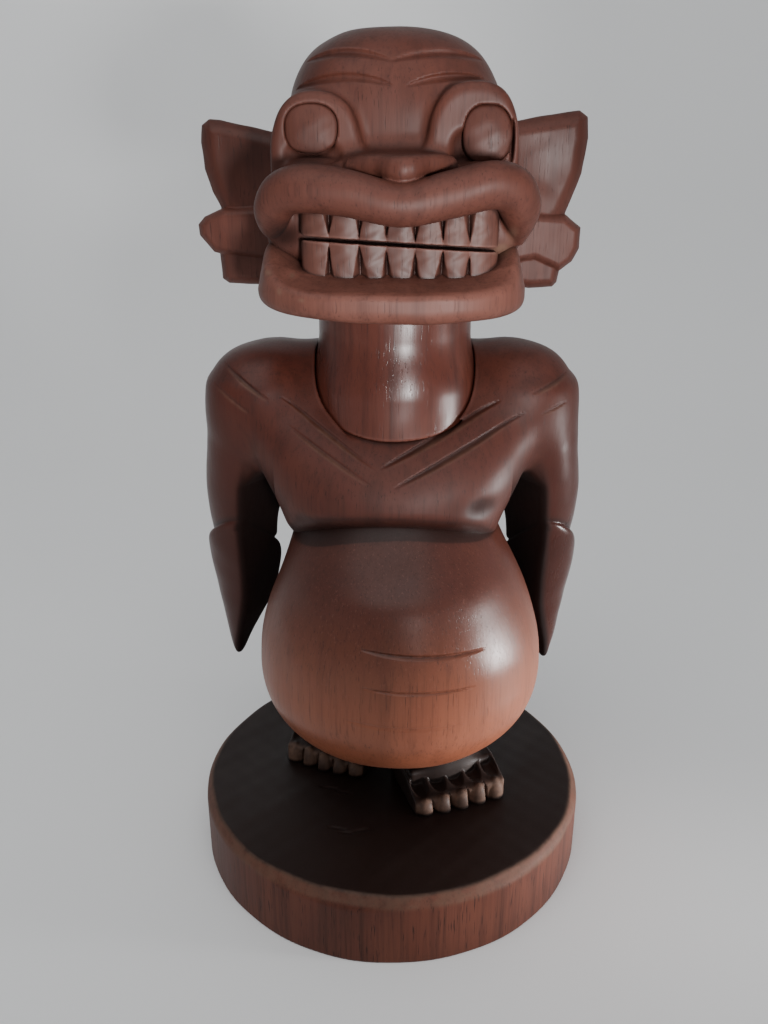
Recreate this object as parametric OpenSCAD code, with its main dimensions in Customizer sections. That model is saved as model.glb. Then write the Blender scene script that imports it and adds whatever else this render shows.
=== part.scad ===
// Carved wooden tiki figure on a round base, built from blocks that are joined with dowels.
// Millimetres, +Z up. The figure faces -Y and its own left side is +X.
// The origin is the centre of the underside of the base.

/* [Base] */
// Radius of the round base
base_r = 120; // [114:1:126]
// Thickness of the base
base_h = 44; // [40:1:48]
// Width of the bevel round the top edge
base_bevel = 5; // [3:1:8]

/* [Feet and legs] */
// Width of a foot across its toes
foot_w = 54; // [50:1:58]
// Length of a foot from the toe tips to the ankle
foot_len = 46; // [42:1:50]
// Height of the toes
toe_h = 13; // [11:1:16]
// Length of the toes
toe_len = 18; // [14:1:22]
// Number of toes on a foot
toe_count = 5; // [4:1:6]
// Outward turn of the left foot in degrees
left_turn = 18; // [12:1:24]
// Outward turn of the right foot in degrees
right_turn = 27; // [20:1:30]
// Radius of an ankle
ankle_r = 21; // [19:1:23]
// Radius of a buttock
seat_r = 33; // [30:1:36]

/* [Belly] */
// Largest radius of the belly
belly_r = 81; // [78:1:83]
// Height of the belly above its widest ring
belly_up = 94; // [90:1:98]
// Height of the widest ring above the ground
belly_z = 145; // [143:1:148]
// How far the belly sits in front of the centre
belly_forward = 16; // [14:1:20]

/* [Chest and shoulders] */
// Half width of the waist
waist_w = 58; // [54:1:61]
// Half depth of the waist
waist_d = 50; // [46:1:54]
// Height of the waist joint on the centre line
waist_z = 206; // [204:1:208]
// Forward rise of the waist joint in degrees
waist_tilt = 25; // [22:1:27]
// Radius of a shoulder
shoulder_r = 34; // [32:1:36]
// Height of a shoulder's centre
shoulder_z = 288; // [286:1:290]
// Distance of a shoulder's centre from the middle
shoulder_x = 73; // [71:1:75]
// Distance of the arm joint from the middle
arm_joint_x = 64; // [62:1:66]

/* [Arms] */
// Radius of an elbow
elbow_r = 21; // [19:1:22]
// Distance of an elbow's centre from the middle
elbow_x = 90; // [89:1:92]
// Height of an elbow's centre
elbow_z = 202; // [200:1:206]
// Height of the pointed end of an arm
tip_z = 113; // [110:1:118]

/* [Neck] */
// Radius of the neck
neck_r = 41; // [39:1:43]
// Radius of the neck where it flares into its seat
neck_flare_r = 46; // [45:1:47]
// Height of the neck seat on the centre line
neck_seat_z = 294; // [292:1:297]
// Backward rise of the neck seat in degrees
neck_tilt = 22; // [20:1:24]
// Height of the top of the neck
neck_top_z = 343; // [341:1:345]

/* [Head] */
// Height of the top of the skull
skull_top_z = 471; // [469:1:474]
// Half width of the skull
skull_w = 51; // [50:1:53]
// Height of the upper lip's middle
lip_z = 395; // [393:1:397]
// Half width of the mouth at the upper lip
lip_w = 66; // [64:1:68]
// Distance of the lips in front of the centre
lip_forward = 91; // [89:1:93]
// Outer radius of an eye ring
eye_ring_r = 21; // [20:1:22]
// Radius of an eyeball
eye_r = 12; // [11:1:13]
// Height of the right eye's centre
right_eye_z = 419; // [418:1:421]
// Height of the left eye's centre
left_eye_z = 423; // [421:1:424]

/* [Jaw and teeth] */
// Thickness of the lower lip slab
jaw_h = 15; // [13:1:16]
// Half width of the lower lip slab
jaw_w = 65; // [63:1:67]
// Distance of the slab's front edge from the centre
jaw_forward = 95; // [93:1:97]
// Number of teeth in a row
tooth_count = 7; // [6:1:8]
// Length of a row of teeth
teeth_len = 88; // [84:1:90]
// Height of the gap between the two rows
bite_gap = 2; // [1:0.5:3]
// Slope of the bite in degrees, down towards the figure's left
bite_tilt = 3.5; // [2:0.5:5]

/* [Ears] */
// Thickness of an ear
ear_t = 14; // [12:1:16]
// Distance of an ear's outer edge from the middle
ear_out = 100; // [97:1:103]

/* [Hidden] */

// Larger than the whole figure, for the half spaces that cut the joints
big = 600;
// Facets of the round children of a hull
hull_fn = 32;
// Facets of turned and drilled shapes
turn_fn = 96;
// Thickness and facets of the thin discs that end a hull
disc_h = 1;
disc_fn = 64;
// How far a cutter reaches past the face that it opens
slack = 1;

// Toe edges: the middle of each foot's front edge on top of the base
left_toe = [41, -44];
right_toe = [-45, -12];
function ankle(toe, turn, side) = [toe[0] - side * foot_len * sin(turn), toe[1] + foot_len * cos(turn)];
left_ankle = ankle(left_toe, left_turn, 1);
right_ankle = ankle(right_toe, right_turn, -1);
toe_pitch = foot_w / toe_count;
instep_h = 24;
heel_w = 36;
seat_x = 34;
seat_y = 36;
seat_z = 108;

belly_x = 2;
egg_steps = 16;
// How far the turned top reaches into the ball below it
belly_lap = 10;

// Chest: the breast is a ball behind the front face, the back is a ball behind the neck
shoulder_y = 9;
breast_r = 40;
breast_at = [0, -15, 256];
back_r = 30;
back_at = [0, 16, 284];
waist_y = 2;

elbow_y = 20;
forearm_r = 14;
forearm_at = [95, 30, 152];
tip_r = 6;
tip_at = [98, 31, tip_z + tip_r];

// Neck seat: a round well with a flared dish above it
dish_r = 80;
dish_h = 38;
neck_waist_z = 322;
neck_foot_z = 300;

// Head
skull_r = 30;
skull_front = -14;
skull_back = 26;
face_w = 50;
face_front = -66;
face_back = 20;
face_top_z = 404;
cheek_back = -12;
head_base_r = 40;
jaw_top_z = neck_top_z + jaw_h;
lip_r = 11;
lip_end_y = -44;
nose_tip_r = 8;
nose_wing_r = 6;
nose_at = [3, -77, 410];
nose_wing = [17, 12, -1];
bridge_at = [2, -44, 428];
bridge_r = 7;
eye_x = 38;
eye_y = -42;
ring_t = 6;
ring_front = -53;
ring_depth = 24;

// Teeth stand on the jaw against the face block
tooth_depth = 8;
tooth_root = 4;
teeth_x = 2;
teeth_top_z = 392;
bite_z = 376;
tooth_pitch = teeth_len / tooth_count;

// Ears: a tenon goes into a slot in each side of the head
ear_y = 0;
ear_in = 44;
ear_top_z = 431;
ear_root_z = 425;
ear_notch_z = 386;
ear_notch_x = 90;
ear_lobe_z = 366;
ear_foot_z = 348;
ear_foot_x = 90;
ear_foot_in = 74;
ear_corner_r = 6;
slot_low_z = 378;

// Dowels
leg_dowel_r = 6;
leg_dowel_z = 20;
leg_dowel_h = 92;
body_dowel_r = 10;
waist_dowel_z = 165;
waist_dowel_h = 85;
neck_dowel_z = 260;
neck_dowel_h = 122;
arm_dowel_r = 6;
arm_dowel_x = 46;
arm_dowel_len = 38;
arm_dowel_z = 278;
jaw_dowel_r = 4;
jaw_dowel_x = 26;
jaw_dowel_y = -40;
jaw_dowel_z = 348;
jaw_dowel_h = 26;

wood = "saddlebrown";
dark_wood = "#4a2418";
red_wood = "#8a4a35";
dowel_wood = "burlywood";

// Upper half profile of the egg, from its widest ring to its top
function egg_side() = [for (i = [0:egg_steps]) let (a = 90 * i / egg_steps)
    [belly_r * cos(a), belly_up * sin(a)]];

// Everything above a plane through [0, 0, z] that is turned by tilt about X
module above(z, tilt = 0) {
    translate([0, 0, z])
        rotate([tilt, 0, 0])
            translate([-big / 2, -big / 2, 0])
                cube(big);
}

module below(z, tilt = 0) {
    translate([0, 0, z])
        rotate([tilt, 0, 0])
            translate([-big / 2, -big / 2, -big])
                cube(big);
}

// Straight round bar between the points a and b
module rod(a, b, r) {
    v = b - a;
    translate(a)
        rotate([0, acos(v[2] / norm(v)), atan2(v[1], v[0])])
            cylinder(r = r, h = norm(v), $fn = turn_fn);
}

module ball(at, r) {
    translate(at)
        sphere(r = r, $fn = hull_fn);
}

// ---- dowels ----

module leg_pins() {
    for (at = [left_ankle, right_ankle])
        translate([at[0], at[1], leg_dowel_z])
            cylinder(r = leg_dowel_r, h = leg_dowel_h, $fn = turn_fn);
}

module waist_pin() {
    translate([0, 0, waist_dowel_z])
        cylinder(r = body_dowel_r, h = waist_dowel_h, $fn = turn_fn);
}

module neck_pin() {
    translate([0, 0, neck_dowel_z])
        cylinder(r = body_dowel_r, h = neck_dowel_h, $fn = turn_fn);
}

module arm_pins() {
    for (side = [-1, 1])
        translate([side * arm_dowel_x, shoulder_y, arm_dowel_z])
            rotate([0, side * 90, 0])
                cylinder(r = arm_dowel_r, h = arm_dowel_len, $fn = turn_fn);
}

module jaw_pins() {
    for (side = [-1, 1])
        translate([side * jaw_dowel_x, jaw_dowel_y, jaw_dowel_z])
            cylinder(r = jaw_dowel_r, h = jaw_dowel_h, $fn = turn_fn);
}

module leg_dowels() {
    color(dowel_wood) leg_pins();
}

module waist_dowel() {
    color(dowel_wood) waist_pin();
}

module neck_dowel() {
    color(dowel_wood) neck_pin();
}

module arm_dowels() {
    color(dowel_wood) arm_pins();
}

module jaw_dowels() {
    color(dowel_wood) jaw_pins();
}

// ---- base, legs and belly ----

module base_disc() {
    color(red_wood)
        difference() {
            rotate_extrude($fn = turn_fn)
                polygon([[0, 0], [base_r, 0], [base_r, base_h - base_bevel],
                    [base_r - base_bevel, base_h], [0, base_h]]);
            leg_pins();
        }
}

// The lower half of the belly is half a ball, which the legs are cut to fit
module belly_ball() {
    translate([belly_x, -belly_forward, belly_z])
        sphere(r = belly_r, $fn = turn_fn);
}

module belly_top() {
    translate([belly_x, -belly_forward, belly_z])
        rotate_extrude($fn = turn_fn)
            polygon(concat([[0, -belly_lap], [belly_r * cos(asin(belly_lap / belly_r)), -belly_lap]],
                egg_side()));
}

module toes() {
    for (i = [0:toe_count - 1])
        translate([(i + 0.5) * toe_pitch - foot_w / 2, toe_pitch / 2, base_h])
            cylinder(r = toe_pitch / 2, h = toe_h, $fn = turn_fn);
}

// Foot with its toe tips on the X axis: a flat front and an instep that slopes up to the heel block
module foot() {
    toes();
    translate([-foot_w / 2, toe_pitch / 2, base_h])
        cube([foot_w, toe_len, toe_h]);
    translate([-heel_w / 2, toe_len, base_h])
        rotate([90, 0, 90])
            linear_extrude(heel_w)
                polygon([[0, 0], [foot_len, 0], [foot_len, instep_h],
                    [foot_len - toe_len, instep_h], [0, toe_h]]);
}

// side is 1 for the left leg and -1 for the right leg
module leg(toe, turn, side) {
    at = ankle(toe, turn, side);
    color(dark_wood)
        difference() {
            union() {
                translate([toe[0], toe[1], 0])
                    rotate([0, 0, side * turn])
                        foot();
                rod([at[0], at[1], base_h + ankle_r], [side * seat_x, seat_y, seat_z], ankle_r);
                translate([side * seat_x, seat_y, seat_z])
                    sphere(r = seat_r, $fn = turn_fn);
            }
            belly_ball();
            leg_pins();
            translate([side > 0 ? -big : 0, -big / 2, 0])
                cube(big);
            below(base_h);
        }
}

module left_leg() {
    leg(left_toe, left_turn, 1);
}

module right_leg() {
    leg(right_toe, right_turn, -1);
}

module belly() {
    color(red_wood)
        difference() {
            union() {
                belly_ball();
                belly_top();
            }
            above(waist_z, -waist_tilt);
            leg_pins();
            waist_pin();
        }
}

// ---- chest, arms and neck ----

module chest_body() {
    hull() {
        for (side = [-1, 1])
            ball([side * shoulder_x, shoulder_y, shoulder_z], shoulder_r);
        ball(breast_at, breast_r);
        ball(back_at, back_r);
        translate([0, waist_y, waist_z])
            rotate([-waist_tilt, 0, 0])
                scale([1, waist_d / waist_w, 1])
                    cylinder(r = waist_w, h = disc_h, $fn = disc_fn);
    }
}

module chest() {
    color(wood)
        difference() {
            intersection() {
                chest_body();
                translate([-arm_joint_x, -big / 2, 0])
                    cube([2 * arm_joint_x, big, big]);
            }
            below(waist_z, -waist_tilt);
            neck_well();
            waist_pin();
            neck_pin();
            arm_pins();
        }
}

// The neck stands in this well: a cylinder on the sloping seat, and the flared dish round it
module neck_well() {
    intersection() {
        cylinder(r = neck_flare_r, h = big, $fn = turn_fn);
        above(neck_seat_z, neck_tilt);
    }
    translate([0, 0, neck_seat_z])
        rotate([neck_tilt, 0, 0])
            cylinder(r1 = neck_flare_r, r2 = dish_r, h = dish_h, $fn = turn_fn);
}

module arm(side) {
    color(wood)
        difference() {
            union() {
                hull() {
                    ball([side * shoulder_x, shoulder_y, shoulder_z], shoulder_r);
                    ball([side * elbow_x, elbow_y, elbow_z], elbow_r);
                }
                hull() {
                    ball([side * elbow_x, elbow_y, elbow_z], elbow_r);
                    ball([side * forearm_at[0], forearm_at[1], forearm_at[2]], forearm_r);
                    ball([side * tip_at[0], tip_at[1], tip_at[2]], tip_r);
                }
            }
            translate([side > 0 ? arm_joint_x - big : -arm_joint_x, -big / 2, 0])
                cube(big);
            neck_well();
            arm_pins();
        }
}

module left_arm() {
    arm(1);
}

module right_arm() {
    arm(-1);
}

module neck() {
    color(red_wood)
        difference() {
            rotate_extrude($fn = turn_fn)
                polygon([[0, neck_dowel_z], [neck_flare_r, neck_dowel_z], [neck_flare_r, neck_foot_z],
                    [neck_r, neck_waist_z], [neck_r, neck_top_z], [0, neck_top_z]]);
            below(neck_seat_z, neck_tilt);
            neck_pin();
        }
}

// ---- head ----

module skull() {
    hull() {
        for (side = [-1, 1])
            for (y = [skull_front, skull_back])
                ball([side * (skull_w - skull_r), y, skull_top_z - skull_r], skull_r);
        translate([0, 0, neck_top_z])
            cylinder(r = head_base_r, h = disc_h, $fn = disc_fn);
    }
}

module upper_lip() {
    hull() {
        for (side = [-1, 1]) {
            ball([side * (lip_w - lip_r), -lip_forward + lip_r, lip_z], lip_r);
            ball([side * (lip_w - 2 * lip_r), lip_end_y, lip_z], lip_r);
        }
    }
}

module nose() {
    hull() {
        ball(nose_at, nose_tip_r);
        ball(bridge_at, bridge_r);
        for (side = [-1, 1])
            ball(nose_at + [side * nose_wing[0], nose_wing[1], nose_wing[2]], nose_wing_r);
    }
}

// Eye ring round a centre at height z, standing out of the face along -Y
module eye_ring(side, z) {
    translate([side * eye_x, ring_front, z])
        rotate([-90, 0, 0])
            difference() {
                cylinder(r = eye_ring_r, h = ring_depth, $fn = turn_fn);
                translate([0, 0, -slack])
                    cylinder(r = eye_ring_r - ring_t, h = ring_depth / 2, $fn = turn_fn);
            }
}

module eyeball(side, z) {
    translate([side * eye_x, eye_y, z])
        sphere(r = eye_r, $fn = turn_fn);
}

module face_block() {
    translate([-face_w, face_front, jaw_top_z])
        cube([2 * face_w, face_back - face_front, face_top_z - jaw_top_z]);
}

module head() {
    color(wood)
        difference() {
            union() {
                skull();
                face_block();
                upper_lip();
                nose();
                eye_ring(-1, right_eye_z);
                eye_ring(1, left_eye_z);
            }
            teeth_rebate();
            eyeball(-1, right_eye_z);
            eyeball(1, left_eye_z);
            jaw_seat();
            for (side = [-1, 1])
                ear_slot(side);
            neck_pin();
            jaw_pins();
        }
}

module left_eye() {
    color(dark_wood) eyeball(1, left_eye_z);
}

module right_eye() {
    color(dark_wood) eyeball(-1, right_eye_z);
}

// ---- jaw and teeth ----

// The space under the face that the jaw fills
module jaw_seat() {
    translate([-big / 2, cheek_back - big, 0])
        cube([big, big, jaw_top_z]);
}

// Lower lip: a slab with two round front corners that narrows behind the cheeks
module jaw() {
    corner = jaw_w / 3;
    color(wood)
        difference() {
            translate([0, 0, neck_top_z])
                linear_extrude(jaw_h) {
                    for (side = [-1, 1])
                        translate([side * (jaw_w - corner), corner - jaw_forward])
                            circle(r = corner, $fn = turn_fn);
                    translate([corner - jaw_w, -jaw_forward])
                        square([2 * (jaw_w - corner), corner]);
                    translate([-jaw_w, corner - jaw_forward])
                        square([2 * jaw_w, jaw_forward - corner + face_front + corner]);
                    translate([-face_w, face_front])
                        square([2 * face_w, cheek_back - face_front]);
                }
            jaw_pins();
        }
}

// Everything above or below the saw cut between the rows of teeth
module bite_side(up) {
    translate([teeth_x, 0, bite_z])
        rotate([0, bite_tilt, 0])
            translate([-big / 2, -big / 2, up > 0 ? bite_gap / 2 : -big - bite_gap / 2])
                cube(big);
}

// A solid strip with one round tooth front after another
module teeth_strip() {
    translate([teeth_x - teeth_len / 2, face_front - tooth_root, jaw_top_z])
        cube([teeth_len, tooth_root, teeth_top_z - jaw_top_z]);
    for (i = [0:tooth_count - 1])
        translate([teeth_x - teeth_len / 2 + (i + 0.5) * tooth_pitch, face_front - tooth_root, jaw_top_z])
            intersection() {
                cylinder(r = tooth_pitch / 2, h = teeth_top_z - jaw_top_z, $fn = turn_fn);
                translate([-tooth_pitch / 2, -tooth_depth / 2, 0])
                    cube([tooth_pitch, tooth_depth / 2, teeth_top_z - jaw_top_z]);
            }
}

// The pocket behind the upper lip that the teeth stand in
module teeth_rebate() {
    translate([teeth_x - teeth_len / 2, face_front - tooth_depth, jaw_top_z])
        cube([teeth_len, tooth_depth, teeth_top_z - jaw_top_z]);
}

module upper_teeth() {
    color(red_wood)
        intersection() {
            teeth_strip();
            bite_side(1);
        }
}

module lower_teeth() {
    color(red_wood)
        intersection() {
            teeth_strip();
            bite_side(-1);
        }
}

// ---- ears ----

// Outline in X and Z of the left ear: the upper wing, the notch, the middle lobe and the foot
module ear_outline() {
    polygon([[ear_in, slot_low_z], [ear_in, ear_root_z - ear_corner_r],
        [ear_out - ear_corner_r, ear_top_z], [ear_out, ear_top_z - ear_corner_r],
        [ear_notch_x, ear_notch_z], [ear_out, ear_notch_z - ear_corner_r],
        [ear_out, ear_lobe_z + ear_corner_r], [ear_foot_x, ear_lobe_z - ear_corner_r],
        [ear_foot_x, ear_foot_z], [ear_foot_in, ear_foot_z], [face_w, slot_low_z]]);
}

module ear_plate(side) {
    translate([0, ear_y + ear_t, 0])
        rotate([90, 0, 0])
            linear_extrude(ear_t)
                mirror([side > 0 ? 0 : 1, 0])
                    ear_outline();
}

// The part of an ear that is inside the head
module ear_slot(side) {
    ear_plate(side);
}

module left_ear() {
    color(wood) ear_plate(1);
}

module right_ear() {
    color(wood) ear_plate(-1);
}

base_disc();
left_leg();
right_leg();
leg_dowels();
belly();
waist_dowel();
chest();
left_arm();
right_arm();
arm_dowels();
neck();
neck_dowel();
head();
left_eye();
right_eye();
jaw();
jaw_dowels();
upper_teeth();
lower_teeth();
left_ear();
right_ear();
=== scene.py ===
"""Looks of a carved wooden tiki figure: every block is sculpted as a distance field and meshed.

Lengths in the sculpting part are millimetres in the figure's own frame: +Z up, the figure faces -Y,
and its left side is +X. Meshes are scaled to metres when they are made.

Pieces are cut to each other only where the joint shows. Inside the figure they overlap, and they have no
dowel holes: those are in the CAD parts.
"""

import math

import bpy
import numpy as np
import openvdb
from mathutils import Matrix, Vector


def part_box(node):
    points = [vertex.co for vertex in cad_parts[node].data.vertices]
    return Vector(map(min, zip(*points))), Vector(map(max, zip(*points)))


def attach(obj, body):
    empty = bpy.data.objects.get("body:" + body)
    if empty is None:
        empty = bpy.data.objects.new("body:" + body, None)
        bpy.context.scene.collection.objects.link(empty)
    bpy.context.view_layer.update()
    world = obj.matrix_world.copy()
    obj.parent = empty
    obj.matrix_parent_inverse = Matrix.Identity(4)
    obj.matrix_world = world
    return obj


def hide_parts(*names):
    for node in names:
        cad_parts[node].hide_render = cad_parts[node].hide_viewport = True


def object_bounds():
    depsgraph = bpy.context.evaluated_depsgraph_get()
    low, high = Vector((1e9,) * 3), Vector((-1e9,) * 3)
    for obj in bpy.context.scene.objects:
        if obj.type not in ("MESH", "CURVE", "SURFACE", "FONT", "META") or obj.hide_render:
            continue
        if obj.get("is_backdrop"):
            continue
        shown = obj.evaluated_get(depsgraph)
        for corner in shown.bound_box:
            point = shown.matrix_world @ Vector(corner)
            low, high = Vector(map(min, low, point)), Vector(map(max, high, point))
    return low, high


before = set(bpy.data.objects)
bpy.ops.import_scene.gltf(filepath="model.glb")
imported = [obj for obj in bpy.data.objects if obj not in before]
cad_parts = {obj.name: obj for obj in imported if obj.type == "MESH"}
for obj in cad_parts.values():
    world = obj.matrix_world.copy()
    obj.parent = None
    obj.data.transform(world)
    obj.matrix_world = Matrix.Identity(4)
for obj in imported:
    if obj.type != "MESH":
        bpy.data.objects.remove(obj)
cad_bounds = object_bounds()

MM = 0.001
VOXEL_SCALE = 1.0


def cad_box(node):
    """Lowest and highest corner of a CAD node, in millimetres."""
    low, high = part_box(node)
    return [value / MM for value in low], [value / MM for value in high]


# Anchors taken from the CAD frame
BASE_R, _, BASE_TOP = cad_box("base_disc")[1]
JAW_UNDER, JAW_TOP = [corner[2] for corner in cad_box("jaw")]
SKULL_TOP = cad_box("head")[1][2]
ARM_JOINT = cad_box("chest")[1][0]

# ------------------------------------------------------------------ distance fields
# A field takes points p = (x, y, z), three arrays, and gives the distance to a surface.


def norm3(x, y, z):
    return np.sqrt(x * x + y * y + z * z)


def pillow(p, at, radii, power=2.0):
    """Superellipsoid: power 2 is an ellipsoid, more is boxier."""
    q = [np.abs(c - a) / r for c, a, r in zip(p, at, radii)]
    size = np.maximum(sum(v**power for v in q), 1e-9) ** (1 / power)
    slope = np.sqrt(sum(((v / size) ** (power - 1) / r) ** 2 for v, r in zip(q, radii)))
    return (size - 1) / np.maximum(slope, 1e-6)


def rod(p, a, b, ra, rb):
    """Round bar from a to b whose radius goes from ra to rb."""
    ax = [v - u for u, v in zip(a, b)]
    along = sum((c - u) * v for c, u, v in zip(p, a, ax)) / sum(v * v for v in ax)
    t = np.clip(along, 0, 1)
    gap = norm3(*[c - u - t * v for c, u, v in zip(p, a, ax)])
    return gap - (ra + (rb - ra) * t)


def chain(p, points, radii):
    """Round bar through several points, one radius at each."""
    best = rod(p, points[0], points[1], radii[0], radii[1])
    for i in range(1, len(points) - 1):
        best = np.minimum(best, rod(p, points[i], points[i + 1], radii[i], radii[i + 1]))
    return best


def smooth_path(points, steps=6):
    """Catmull-Rom curve through rows of numbers: positions, radii or both together."""
    rows = np.array(points, float)
    ends = np.vstack([2 * rows[0] - rows[1], rows, 2 * rows[-1] - rows[-2]])
    out = []
    for i in range(1, len(ends) - 2):
        a, b, c, d = ends[i - 1 : i + 3]
        for t in np.arange(steps) / steps:
            out.append(
                b + 0.5 * t * (c - a + t * (2 * a - 5 * b + 4 * c - d + t * (3 * (b - c) + d - a)))
            )
    out.append(rows[-1])
    return np.array(out)


def sausage(p, rows, steps=6):
    """Smooth bar through rows of (x, y, z, radius)."""
    path = smooth_path(rows, steps)
    return chain(p, path[:, :3], path[:, 3])


def slices(rows, steps=8):
    """Table for loft from rows of (z, centre x, centre y, half width, half depth), lowest first."""
    path = smooth_path(rows, steps)
    rate = [np.gradient(path[:, k], path[:, 0]) for k in (1, 2, 3, 4)]
    lean = np.sqrt(1 + sum(r * r for r in rate) / 2)
    return np.column_stack([path, lean])


def at_height(z, table):
    """Centre x, centre y, half width, half depth and lean of a loft at heights z."""
    return [np.interp(z, table[:, 0], table[:, k]) for k in range(1, 6)]


def loft(p, table, power=2.0):
    """Upright body through level slices. It goes straight on beyond its first and last slice."""
    cx, cy, rx, ry, lean = at_height(p[2], table)
    u, v = np.abs(p[0] - cx) / rx, np.abs(p[1] - cy) / ry
    size = np.maximum(u**power + v**power, 1e-9) ** (1 / power)
    slope = np.hypot((u / size) ** (power - 1) / rx, (v / size) ** (power - 1) / ry)
    return (size - 1) / (slope * lean)


def box(p, at, half, edge=0.0):
    q = [np.abs(c - a) - (h - edge) for c, a, h in zip(p, at, half)]
    outside = norm3(*[np.maximum(v, 0) for v in q])
    inside = np.minimum(np.maximum(np.maximum(q[0], q[1]), q[2]), 0)
    return outside + inside - edge


def outline(x, z, points):
    """Signed distance to a closed polygon in the plane of x and z."""
    ring = np.array(points, float)
    best = np.full(x.shape, 1e9)
    side = np.ones(x.shape)
    for a, b in zip(ring, np.roll(ring, -1, axis=0)):
        ex, ez = b - a
        wx, wz = x - a[0], z - a[1]
        t = np.clip((wx * ex + wz * ez) / (ex * ex + ez * ez), 0, 1)
        best = np.minimum(best, (wx - ex * t) ** 2 + (wz - ez * t) ** 2)
        above_a, below_b, left = z >= a[1], z < b[1], ex * wz > ez * wx
        flip = (above_a & below_b & left) | (~above_a & ~below_b & ~left)
        side = np.where(flip, -side, side)
    return side * np.sqrt(best)


def join(a, b, k=0.0):
    """Union, blended over k."""
    if k <= 0:
        return np.minimum(a, b)
    h = np.maximum(k - np.abs(a - b), 0) / k
    return np.minimum(a, b) - h * h * k / 4


def trim(a, b, k=0.0):
    """Intersection, blended over k."""
    return -join(-a, -b, k)


def carve(a, b, k=0.0):
    """a with b taken away, blended over k."""
    return -join(-a, b, k)


def turned(p, at, degrees):
    """p turned about the upright line through at, so that a shape drawn straight comes out turned."""
    c, s = math.cos(math.radians(degrees)), math.sin(math.radians(degrees))
    x, y = p[0] - at[0], p[1] - at[1]
    return [at[0] + c * x + s * y, at[1] - s * x + c * y, p[2]]


def tilted(z0, degrees, p):
    """Height above a plane through (0, 0, z0) that rises towards +Y by degrees."""
    c, s = math.cos(math.radians(degrees)), math.sin(math.radians(degrees))
    return (p[2] - z0) * c - p[1] * s


def gouge(d, p, a, b, width, depth, bow=0.0, steep=0.35):
    """d with a knife cut along a-b as seen from the front: a leaf that fades out at both ends.

    a and b are (x, z), and bow lifts the middle of the line. The cut is steep above the line and
    slopes below it.
    """
    ax, az = b[0] - a[0], b[1] - a[1]
    t = np.clip(((p[0] - a[0]) * ax + (p[2] - a[1]) * az) / (ax * ax + az * az), 0, 1)
    leaf = 4 * t * (1 - t)
    up = p[2] - a[1] - az * t - bow * leaf
    gap = np.hypot(p[0] - a[0] - ax * t, up)
    reach = width * np.sqrt(leaf) * np.where(up > 0, steep, 1 - steep) + 0.05
    cut = depth * leaf**0.6 * np.clip(1 - (gap / reach) ** 2, 0, 1) ** 1.5
    return d + np.where(p[1] < 0, cut, 0)


def wobble(p, size, phase=0.0):
    """Unevenness of hand carving, between about -1 and 1, with lumps about size across."""
    x, y, z = [c * (2 * math.pi / size) for c in p]
    a = np.sin(x + 1.7 * np.sin(0.6 * z + phase)) * np.cos(0.8 * z - y + phase)
    b = np.sin(0.7 * y - 0.5 * x + 1.3 * np.cos(0.9 * z + 2 * phase))
    return 0.6 * a + 0.4 * b


# ------------------------------------------------------------------ meshing

BLOCK = 8


def evaluate(field, points, chunk=400_000):
    """field at rows of points, in pieces that fit the cache."""
    out = np.empty(len(points), np.float32)
    for i in range(0, len(points), chunk):
        out[i : i + chunk] = field([points[i : i + chunk, k] for k in range(3)])
    return out


def sample(field, low, high, voxel):
    """Dense grid of field between low and high; blocks far from the surface get one value."""
    low = np.array(low, np.float32)
    blocks = np.ceil((np.array(high) - low) / (voxel * BLOCK)).astype(int)
    index = np.stack(np.meshgrid(*[np.arange(n) for n in blocks], indexing="ij"), -1).reshape(-1, 3)
    middle = low + (index + 0.5 - 0.5 / BLOCK) * BLOCK * voxel
    coarse = evaluate(field, middle.astype(np.float32))
    reach = BLOCK * voxel * 0.87 * 1.6 + 1.5
    near = np.abs(coarse) < reach
    n = BLOCK
    grid = np.broadcast_to(coarse.reshape(*blocks, 1, 1, 1), (*blocks, n, n, n)).copy()
    step = np.stack(np.meshgrid(*[np.arange(n)] * 3, indexing="ij"), -1).reshape(1, -1, 3)
    fine = (index[near][:, None, :] * n + step).reshape(-1, 3)
    values = evaluate(field, (low + fine * voxel).astype(np.float32))
    grid.reshape(-1, n, n, n)[near] = values.reshape(-1, n, n, n)
    return grid.transpose(0, 3, 1, 4, 2, 5).reshape(blocks * n)


def slope_of(field, points, reach):
    """Gradient of field at rows of points by central differences."""
    grad = np.empty_like(points)
    for k in range(3):
        step = np.zeros(3, np.float32)
        step[k] = reach
        grad[:, k] = (evaluate(field, points + step) - evaluate(field, points - step)) / (2 * reach)
    return grad


def settle(field, points, voxel, rounds=2):
    """points moved onto the true surface."""
    for _ in range(rounds):
        d = evaluate(field, points)
        grad = slope_of(field, points, 0.15 * voxel)
        size = np.maximum((grad**2).sum(1), 0.05)
        move = np.clip(d / size, -0.5 * voxel, 0.5 * voxel)
        points = points - move[:, None] * grad
    return points


def hollow_at(field, points, normals, reaches):
    """How enclosed each point is: 0 on a flat, near 1 deep in a crease, below 0 on a sharp edge."""
    total = np.zeros(len(points), np.float32)
    for reach in reaches:
        total += np.clip(1 - evaluate(field, points + normals * reach) / reach, 0, 1)
        total -= np.clip(1 + evaluate(field, points - normals * reach) / reach, 0, 1)
    return total / len(reaches)


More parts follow.
